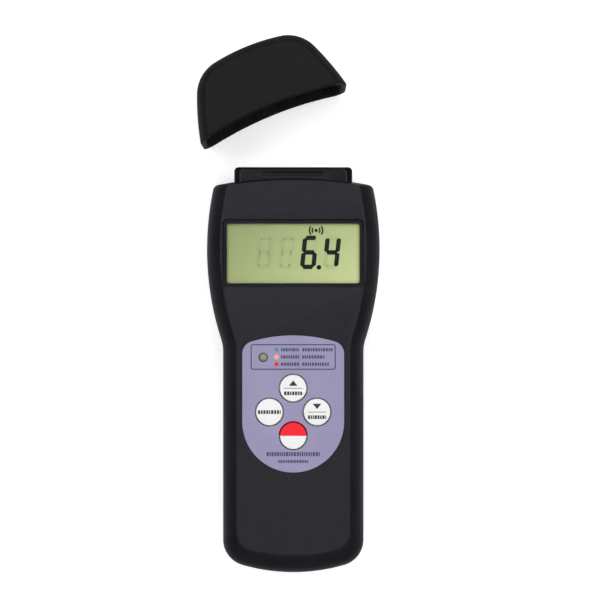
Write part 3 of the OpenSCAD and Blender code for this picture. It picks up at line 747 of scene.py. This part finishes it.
def rear_outside():
    """Levels of the outside, from the back's flat up to the joint line."""
    levels = [(case_plan(BACK_IN * share), z) for share, z in BACK]
    return levels + [(case_plan((0.0,) * 3), SPLIT_Z - 0.3), (case_plan((0.06,) * 3), SPLIT_Z - 0.1),
                     (case_plan((0.22,) * 3), SPLIT_Z)]


def rear_shell():
    """The skin: outside, rim, lip, inner wall and floor."""
    return stack(rear_outside() + [
        (case_plan((LIP_IN,) * 3), SPLIT_Z),
        (case_plan((LIP_IN,) * 3), SPLIT_Z + 1.2),
        (case_plan((WALL,) * 3), SPLIT_Z + 1.2),
        (case_plan((WALL,) * 3), 5.0),
        (case_plan((3.8, 4.9, 2.9)), WALL),
    ])


PILLAR_R = 2.95
SHANK_R = 1.4
SCREW_HEAD_R = 2.15
SCREW_SEAT_Z = 7.0
LEAD_HOLES = [(x, BAY_Y[1] - 1.8) for x in (-18.5, 18.5)]
rear_steps = [
    ("UNION", joined([box_skin((-BAY_HW - BAY_WALL, BAY_Y[0] - BAY_WALL, 0.5),
                               (BAY_HW + BAY_WALL, BAY_Y[1] + BAY_WALL, ROOF_Z[1]), 1.0)])),
    ("UNION", box_skin((-17, -65.5, 1), (17, BAY_Y[0], 4), 2.0)),
    ("UNION", rods(POSTS, PILLAR_R, WALL - 0.4, SPLIT_Z, 40)),
    ("DIFFERENCE", box_skin((-DOOR_HW - 0.2, -75, -1), (DOOR_HW + 0.2, DOOR_TOP_Y + 0.2, 2.0), 0.8)),
    ("DIFFERENCE", box_skin((-DOOR_HW - 1.1, -75, 1.0), (DOOR_HW + 1.1, DOOR_TOP_Y + 0.2, 2.0), 0.3)),
    ("DIFFERENCE", box_skin((-BAY_HW, BAY_Y[0], -1), (BAY_HW, BAY_Y[1], ROOF_Z[0]), 0.8)),
    ("DIFFERENCE", rods(POSTS, SHANK_R, -1, SPLIT_Z + 1, 40)),
    ("DIFFERENCE", rods(POSTS, SCREW_HEAD_R, -1, SCREW_SEAT_Z, 40)),
    ("DIFFERENCE", rods(LEAD_HOLES, 1.0, 12, 15, 40)),
    ("DIFFERENCE", BLOCK_PASS),
    ("DIFFERENCE", box_skin((-17, 14, -1), (17, 44, 0.3), 1.0)),
]
place("rear_case", carve("rear_case", rear_shell(), rear_steps), ["rear_case"], FINISHES["case_black"])

# %% The battery door
GROOVE_R = 0.62
GROOVE_HW = 9.0
GROOVE_STEP = 2.2
PAD_LOW_Y = -54
RAIL_X = (20.2, 22.1)
RAIL_Z = 1.1


def groove_tool(y):
    """A round-bottomed groove across the thumb pad: a bar with a half-round section."""
    angle = np.radians(np.linspace(180, 360, 13))
    profile = np.column_stack([y + GROOVE_R * np.cos(angle), -GROOVE_R * np.sin(angle) - 0.15])
    profile = np.vstack([profile, [[y + GROOVE_R, -1.0], [y - GROOVE_R, -1.0]]])
    ends = np.array([-GROOVE_HW, GROOVE_HW])
    points = np.array([[x, p[0], p[1]] for x in ends for p in profile])
    count = len(profile)
    first = np.arange(count)
    after = np.roll(first, -1)
    walls = np.stack([first, after, after + count, first + count], axis=-1)
    return points, walls.tolist() + [first[::-1].tolist(), (first + count).tolist()]


door_steps = [
    ("INTERSECT", box_skin((-DOOR_HW, -75, -0.5), (DOOR_HW, DOOR_TOP_Y, DOOR_Z), 0.7)),
    ("UNION", side_boxes(*RAIL_X, (PAD_LOW_Y, DOOR_TOP_Y - 1), (RAIL_Z, DOOR_Z))),
    ("DIFFERENCE", joined([groove_tool(PAD_LOW_Y + GROOVE_STEP * i + 0.55) for i in range(6)])),
]
place("battery_door", carve("battery_door", stack(rear_outside()), door_steps), ["battery_door"],
      FINISHES["case_black"])

# %% [markdown]
# ## The sensor block
# The block is a smooth black moulding with a bevelled front, and a shallow slot near its
# end. Its end face has two shallow seats, and an electrode lies flush in each.

# %% The sensor block
def block_loop(side, end):
    """The block's plan moved in at its sides and at its end."""
    return round_rect((-BLOCK_HW + side, 60.5 + 0.2 * side), (BLOCK_HW - side, BLOCK_HIGH[1] - end), 1.5, 8)


block_profile = [(1.4, 0.8, 3.3), (0.75, 0.4, 3.5), (0.3, 0.15, 4.0), (0.08, 0.03, 4.6), (0.0, 0.0, 5.2),
                 (0.0, 0.0, 20.0), (0.12, 0.04, 20.5), (0.45, 0.16, 21.0), (1.0, 0.38, 21.5),
                 (1.6, 0.62, 21.95), (1.85, 0.75, 22.12), (2.05, 0.88, 22.24), (2.3, 1.02, 22.3),
                 (2.6, 1.2, 22.3)]
block_skin = stack([(block_loop(side, end), z) for side, end, z in block_profile])


def slot_loop(grow):
    """The slot in the block's front."""
    return round_rect((-10.6 - grow, 72.6 - grow), (10.6 + grow, 74.1 + grow), 0.5 + grow * 0.5, 6)


SEAT_DEPTH = 0.6
seats = side_boxes(3.4, 18.6, (BLOCK_HIGH[1] - SEAT_DEPTH, 78.5), (7.6, 18.4))
block_steps = [
    ("UNION", box_skin((-19, 61.6, 2.6), (19, 65.6, 22.9))),
    ("DIFFERENCE", box_skin((-18, 59, 6), (18, 73, 19.6), 1.0)),
    ("DIFFERENCE", seats),
    ("DIFFERENCE", rounded_mouth(slot_loop, 21.5, 22.3, 0.18)),
]
place("sensor_block", carve("sensor_block", block_skin, block_steps), ["sensor_block"],
      FINISHES["sensor_black"])

# %% [markdown]
# ## The display
# A near-black band lies under the edge of the lens, painted shade in the window's recess, and below
# the lens lies the glass of the display. It reads in slanted seven-bar numerals. Bars that are off
# still show as a faint shade, as they do on a real display.

# %% Lens and glass
LENS_LOW, LENS_HIGH = (np.array(corner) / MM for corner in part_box("display_window"))
GLASS_LOW, GLASS_HIGH = (np.array(corner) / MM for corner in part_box("lcd_glass"))


def soft_slab(low, high, radius, edge):
    """A slab with round corners and a chamfer on its upper edge."""
    levels = [(0.0, low[2]), (0.0, high[2] - edge), (edge, high[2])]
    return stack([(round_rect((low[0] + d, low[1] + d), (high[0] - d, high[1] - d), radius, 8), z)
                  for d, z in levels])


place("display_window", to_mesh("display_window", soft_slab(LENS_LOW, LENS_HIGH, 1.2, 0.04)),
      ["display_window"], FINISHES["clear_lens"])
# A near-black band under the lens's edge: painted shade round the display's opening.
recess_shade_band = band(view_loop(0.0), view_loop(LEDGE - 0.1), LENS_LOW[2] - 0.02, LENS_LOW[2] - 0.01)
place("window_border", to_mesh("window_border", recess_shade_band), [], FINISHES["segment_dark"], body="case",
      slot="frame_grey")
place("lcd_glass", to_mesh("lcd_glass", soft_slab(GLASS_LOW, GLASS_HIGH, 0.5, 0.2)), ["lcd_glass"],
      FINISHES["lcd_green"])

# %% Numerals on the display
BAR = 1.6
DIGIT_W, DIGIT_H = 4.0, 10.3
SLANT = math.tan(math.radians(6))
BARS = {"a": (0, 1, 0), "g": (0, 0, 0), "d": (0, -1, 0), "b": (1, 0.5, 1), "c": (1, -0.5, 1),
        "f": (-1, 0.5, 1), "e": (-1, -0.5, 1)}
LIT = {"6": "acdefg", "4": "bcfg"}


def bar_loop(key):
    """One bar of a numeral about its centre: a long six-sided shape with pointed ends."""
    x, y, upright = BARS[key]
    half = (DIGIT_H / 4 if upright else DIGIT_W / 2) - 0.06
    t, point = BAR / 2, BAR * 0.3
    shape = np.array([[-half, 0], [-half + point, -t], [half - point, -t], [half, 0], [half - point, t],
                      [-half + point, t]])
    if upright:
        shape = shape[::-1, ::-1]
    return shape + [x * DIGIT_W / 2, y * DIGIT_H / 2]


def slanted(loop, centre):
    """A loop leaned over by the slant and moved to its place."""
    return np.column_stack([loop[:, 0] + SLANT * loop[:, 1], loop[:, 1]]) + centre


def ink(name, loops, low, material, body="case", slot="label_lavender", height=0.012):
    """A thin print: each loop becomes a plate, `height` thick, and all are one piece."""
    skins = [stack([(loop, low), (loop, low + height)]) for loop in loops]
    return place(name, to_mesh(name, joined(skins)), [], material, body=body, slot=slot)


GLASS_TOP = GLASS_HIGH[2]
DIGIT_Y = 45.4
digits = {"6": 5.7, "4": 13.7}
lit_loops = [slanted(bar_loop(key), (x, DIGIT_Y)) for digit, x in digits.items() for key in LIT[digit]]
lit_loops.append(circle((9.1, 40.1), 0.85, 24))
ghost_loops = [slanted(bar_loop(key), (x, DIGIT_Y)) for x in (-10.3, -2.3) for key in BARS]
ghost_loops += [slanted(bar_loop(key), (digits[digit], DIGIT_Y)) for digit in digits
                for key in BARS if key not in LIT[digit]]
ghost_loops.append(circle((1.1, 40.1), 0.85, 24))


def wave_loops(centre):
    """A dot with two arcs at each side, the sign for a reading taken through the air."""
    loops = [circle(centre, 0.6, 20)]
    for radius in (1.35, 2.35):
        for side in (0, 180):
            outer = arc(centre, radius + 0.28, side - 42, side + 42, 14)
            inner = arc(centre, radius - 0.28, side + 42, side - 42, 14)
            loops.append(np.vstack([outer, inner]))
    return loops


lit_loops += wave_loops(np.array([8.1, 53.2]))
ink("display_numerals", lit_loops, GLASS_TOP + 0.01, FINISHES["segment_dark"], slot="lcd_green")
ink("display_idle_bars", ghost_loops, GLASS_TOP + 0.004, FINISHES["segment_ghost"], slot="lcd_green",
    height=0.005)

# %% [markdown]
# ## The label and its print
# The label is a lavender film with punched holes, and its print is ink a few hundredths of
# a millimetre thick. Words are left as rows of short bars, so that it carries no text.

# %% The label
LABEL_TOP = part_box("keypad_label")[1].z / MM
PRINT_Z = LABEL_TOP + 0.002
label_holes = joined([rods(KEY_AT.values(), KEY_HOLE_R, 24, 27), rods([LAMP_AT], LAMP_HOLE_R, 24, 27)])
label_skin = stack([(label_loop(), LABEL_TOP - 0.3), (label_loop(), LABEL_TOP - 0.05),
                    (label_loop(-0.05), LABEL_TOP)])
place("keypad_label", carve("keypad_label", label_skin, [("DIFFERENCE", label_holes)]), ["keypad_label"],
      FINISHES["label_lavender"])

# %% The print
def word(left, right, y, height, seed):
    """A word as a row of upright bars of changing width between two places."""
    draw = np.random.default_rng(seed)
    loops, x = [], left
    while x < right - 0.3:
        width = min(draw.uniform(0.45, 0.85), right - x)
        loops.append(round_rect((x, y - height / 2), (x + width, y + height / 2), 0.08, 2))
        x += width + 0.24
    return loops


def frame_loop(grow):
    """The thin line round the legend."""
    return round_rect((-15.0 - grow, 3.9 - grow), (15.0 + grow, 12.9 + grow), 0.9 + grow, 6)


legend_line = band(frame_loop(0.04), frame_loop(-0.36), PRINT_Z, LABEL_TOP + 0.014)
place("legend_frame", to_mesh("legend_frame", legend_line), [], FINISHES["ink_violet"], body="case",
      slot="label_lavender")
LEGEND_Y = (10.95, 8.4, 5.85)
legend_words = []
for row, (y, right) in enumerate(zip(LEGEND_Y, (13.9, 11.4, 13.1))):
    legend_words += word(-4.3, 2.1, y, 1.15, 11 + row) + word(3.2, right, y, 1.15, 21 + row)
ink("legend_words", legend_words, PRINT_Z, FINISHES["ink_violet"])
ink("title_words", word(-9.4, 9.4, -25.9, 1.45, 31) + word(-5.3, 5.3, -28.5, 1.05, 32), PRINT_Z,
    FINISHES["ink_violet"])
for y, radius, colour in zip(LEGEND_Y, (0.72, 0.9, 0.72), ("teal", "orange", "red")):
    ink("legend_dot_" + colour, [circle((-5.9, y), radius, 28)], PRINT_Z, FINISHES["ink_" + colour])

# %% [markdown]
# ## The keys
# Each key is a turned shape: a stem, a flange that stops it under the case, a straight
# side and a top with a rounded edge. The print on the tops is thin ink again.

# %% Keys
KEY_R = 4.7
KEY_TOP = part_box("key_hold")[1].z / MM - 0.02


def key_profile():
    """(radius, height) of a key from its stem up; the top edge is a quarter circle."""
    edge, sag = 0.38, 0.03
    stem_r, flange_r = 1.7, KEY_HOLE_R + 0.5
    low, under, over = 21.7, 21.9, 22.9
    angle = np.radians(np.linspace(0, 90, 7))
    round_edge = [(KEY_R - edge + edge * math.cos(a), KEY_TOP - sag - edge + edge * math.sin(a))
                  for a in angle]
    crown = [(KEY_R * s, KEY_TOP - sag * s * s) for s in (0.7, 0.45, 0.2)]
    return [(stem_r, low), (stem_r, under), (flange_r, under), (flange_r, over), (KEY_R, over)] \
        + round_edge + crown


def turned(at, profile, count=72):
    """A turned shape: circles of the profile's radii at its heights."""
    return stack([(circle(at, radius, count), z) for radius, z in profile])


for name, at in KEY_AT.items():
    node = "key_" + name
    place(node, to_mesh(node, turned(at, key_profile())), [node], FINISHES[SLOT_OF[node]])


def triangle(centre, width, height):
    """A triangle that points up, or down where height is negative."""
    loop = np.array([[-width / 2, -height / 2], [width / 2, -height / 2], [0, height / 2]])
    return loop[::1 if height > 0 else -1] + centre


def key_print(name, loops, colour):
    """Ink on top of one key."""
    ink(name, [loop + KEY_AT[name.split("_")[1]] for loop in loops], KEY_TOP + 0.002, FINISHES[colour],
        body="key_" + name.split("_")[1], slot="key_white")


def bar(half, y, height):
    """A thin line across a key."""
    return round_rect((-half, y - height / 2), (half, y + height / 2), height * 0.45, 3)


key_print("print_hold", [triangle((0, 1.8), 3.0, 1.9), bar(3.3, 0.0, 0.2)] + word(-3.2, 3.2, -1.8, 1.3, 41),
          "ink_grey")
key_print("print_select", word(-4.0, 4.0, 0.0, 1.3, 42), "ink_grey")
key_print("print_zero", [triangle((0, 2.0), 3.0, -1.9), bar(3.3, 0.0, 0.2)] + word(-3.2, 3.2, -1.8, 1.3, 43),
          "ink_grey")

# %% [markdown]
# ## The lamp
# The lamp is a small frosted bullet on a flange, and it shows through a hole in the label.

# %% The lamp
LED_LOW, LED_HIGH = (np.array(corner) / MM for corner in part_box("indicator_led"))
lamp_angle = np.radians(np.linspace(0, 84, 9))
lamp_profile = [(LAMP_R + 0.35, LED_LOW[2]), (LAMP_R + 0.35, LED_LOW[2] + 1.0), (LAMP_R, LED_LOW[2] + 1.0)]
lamp_profile += [(LAMP_R * math.cos(a), LED_HIGH[2] - 0.9 + 0.9 * math.sin(a)) for a in lamp_angle]
place("indicator_led", to_mesh("indicator_led", turned(LAMP_AT, lamp_profile, 48)), ["indicator_led"],
      FINISHES["led_diffuse"])

# %% [markdown]
# ## The protective cap
# The cap is a hollow cup with the case's own section, so the two run on when it is pushed
# home. Its skin is worked out as it sits on the meter and then turned to where it lies.
# The lip is a quarter circle outside and inside, swept round the whole mouth.

# %% The cap's skin
CAP_JOINT = [joint for joint in frame["joints"] if joint["child"] == "cap"][0]
CAP_POLE = np.array(CAP_JOINT["pos_m"][:2]) / MM
CAP_TURN = math.radians(-CAP_JOINT["range_deg"][0])
CAP_TOP_Y = 96.4
CAP_TOP_R = 75.0
CAP_CORNER_R = 13.5
CAP_WALL = 1.8
CAP_FRONT_IN = 3.4
LIP_C = np.array([0.0, TOP_Y - TOP_R])
LIP_R = TOP_R + 0.3
LIP_ROUND = 0.7


def cap_foot(inset, back):
    """The right end of the lip for a skin moved in by inset and back from the mouth."""
    return meet(LIP_C, LIP_R + back, HEAD_C, HEAD_R - inset)


def cap_edge(inset, back):
    """From the right end of the lip, round the cap, to its left end."""
    crown = np.array([0.0, CAP_TOP_Y - CAP_TOP_R])
    corner = meet(crown, CAP_TOP_R - CAP_CORNER_R, HEAD_C, HEAD_R - CAP_CORNER_R)
    foot = cap_foot(inset, back)
    side = np.vstack([
        foot,
        arc(HEAD_C, HEAD_R - inset, heading(HEAD_C, foot), heading(HEAD_C, corner), 22),
        arc(corner, CAP_CORNER_R - inset, heading(HEAD_C, corner), heading(crown, corner), 26),
        arc(crown, CAP_TOP_R - inset, heading(crown, corner), 90, 16),
    ])
    return np.vstack([side, side[-2::-1] * [-1, 1]])


def cap_lip(inset, back, count=40):
    """Points of the lip between its ends, from right to left."""
    start = heading(LIP_C, cap_foot(inset, back))
    return arc(LIP_C, LIP_R + back, start, 180 - start, count + 1)[:-1]


def cap_section(depth):
    """(inset, height) from the back to the front, for a skin `depth` inside the outer one."""
    scale = 1 - 2 * depth / CASE_T
    back = [(BACK_IN[0] * share, z) for share, z in BACK]
    front = [(CAP_FRONT_IN * share, z) for share, z in FRONT]
    return [(inset + depth, depth + z * scale) for inset, z in back + front]


def cap_skin():
    """Outer walls, lip and inner walls as one grid of loops, and four flats."""
    angle = np.radians(np.linspace(0, 90, 6))
    outer = [(LIP_ROUND * (1 - math.cos(a)), LIP_ROUND * (1 - math.sin(a))) for a in angle]
    inner = [(CAP_WALL - LIP_ROUND * (1 - math.cos(a)), LIP_ROUND * (1 - math.sin(a))) for a in angle[::-1]]
    points, faces = [], []

    def add(new):
        """Adds points, and gives their numbers in the mesh."""
        points.append(new)
        return np.arange(len(new)) + sum(len(p) for p in points[:-1])

    def skin_walls(depth):
        """One skin's walls, its two flats, and the loop round its mouth."""
        section = cap_section(depth)
        rows = np.array([add(np.column_stack([edge, np.full(len(edge), z)])) for edge, z in
                         ((cap_edge(inset, LIP_ROUND), z) for inset, z in section)])
        quads = np.stack([rows[:-1, :-1], rows[:-1, 1:], rows[1:, 1:], rows[1:, :-1]], axis=-1)
        faces.extend(quads.reshape(-1, 4).tolist())
        lips = []
        for index in (0, -1):
            inset, z = section[index]
            lip = cap_lip(inset, LIP_ROUND)
            lips.append(add(np.column_stack([lip, np.full(len(lip), z)])))
            faces.append(rows[index].tolist() + lips[-1][::-1].tolist())
        return np.concatenate([rows[:, 0], lips[1], rows[::-1, -1], lips[0][::-1]])

    def mouth_loop(depth, back):
        """The loop round the mouth for a skin at this depth, moved back from the mouth."""
        section = cap_section(depth)
        right = np.array([[*cap_foot(inset, back), z] for inset, z in section])
        top = cap_lip(section[-1][0], back)
        low = cap_lip(section[0][0], back)[::-1]
        return add(np.vstack([
            right, np.column_stack([top, np.full(len(top), section[-1][1])]), right[::-1] * [-1, 1, 1],
            np.column_stack([low, np.full(len(low), section[0][1])])]))

    loops = [skin_walls(0.0)]
    loops += [mouth_loop(depth, back) for depth, back in outer[1:] + inner[:-1]]
    loops.append(skin_walls(CAP_WALL))
    rows = np.array(loops)
    after = np.roll(rows, -1, axis=1)
    quads = np.stack([rows[:-1], after[:-1], after[1:], rows[1:]], axis=-1)
    faces.extend(quads.reshape(-1, 4).tolist())
    return np.vstack(points), faces


def cap_ribs():
    """Ribs inside the cap that steady it on the front and the back of the sensor block."""
    skins = []
    for x in (5.0, 12.5, 20.0):
        end = CAP_TOP_Y - 8 - x * x / 60
        for sign in (-1, 1):
            low, high = sign * x - 0.7, sign * x + 0.7
            skins.append(box_skin((low, 73.6, CAP_WALL - 0.4), (high, end, 3.0), 0.3))
            skins.append(box_skin((low, 73.6, 22.6), (high, end, CASE_T - CAP_WALL + 0.4), 0.3))
    return joined(skins)


def turn_cap(mesh):
    """Turns the cap from the meter to where it lies, about the pole of its joint."""
    co = np.empty(len(mesh.vertices) * 3)
    mesh.vertices.foreach_get("co", co)
    co = co.reshape(-1, 3)
    flat = co[:, :2] - CAP_POLE * MM
    c, s = math.cos(CAP_TURN), math.sin(CAP_TURN)
    co[:, :2] = flat @ np.array([[c, s], [-s, c]]) + CAP_POLE * MM
    mesh.vertices.foreach_set("co", co.ravel())
    mesh.update()
    return mesh


cap_mesh = turn_cap(carve("protective_cap", cap_skin(), [("UNION", cap_ribs())]))
place("protective_cap", cap_mesh, ["protective_cap"], FINISHES["cap_black"])

# %% [markdown]
# ## The battery cells
# A cell is a sleeve rolled over at both ends, a raised button at one end and a flat at the
# other. Its profile is turned about the cell's own line, which lies along the case.

# %% The cells
def cell_skin(low, high, up):
    """A turned cell between two corners of its box; up says which way its button points."""
    length = high[1] - low[1]
    radius = (high[0] - low[0]) / 2
    centre = (low + high) / 2
    profile = [(3.9, 0.0), (radius - 0.9, 0.12), (radius - 0.3, 0.3), (radius, 0.8), (radius, length - 1.9),
               (radius - 0.3, length - 1.4), (radius - 0.8, length - 1.2), (3.4, length - 1.25),
               (2.6, length - 1.05), (1.95, length - 0.95), (1.9, length - 0.2), (1.7, length)]
    points, faces = turned((0.0, 0.0), profile, 56)
    along = points[:, 2] if up else length - points[:, 2]
    return np.column_stack([centre[0] + points[:, 0], low[1] + along, centre[2] + points[:, 1]]), faces


for index in range(1, 5):
    node = f"battery_cell_{index}"
    low, high = (np.array(corner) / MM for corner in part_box(node))
    place(node, to_mesh(node, cell_skin(low, high, index % 2 == 0)), [node], FINISHES["cell_sleeve"])

# %% [markdown]
# ## The parts that stay as the CAD made them
# Boards, chips, screws, springs and contacts are already the right shape, and take their
# finish on the CAD mesh itself.

# %% Finishes on the carried-over parts
kept = [name for name, node in frame["nodes"].items() if not node.hide_render]
for name in kept:
    node = frame["nodes"][name]
    node.data.materials.clear()
    node.data.materials.append(FINISHES[SLOT_OF[name]])
print(len(kept), "CAD nodes keep their shape:", ", ".join(sorted(kept)))

# %% Bring the scene up to date
bpy.context.view_layer.update()
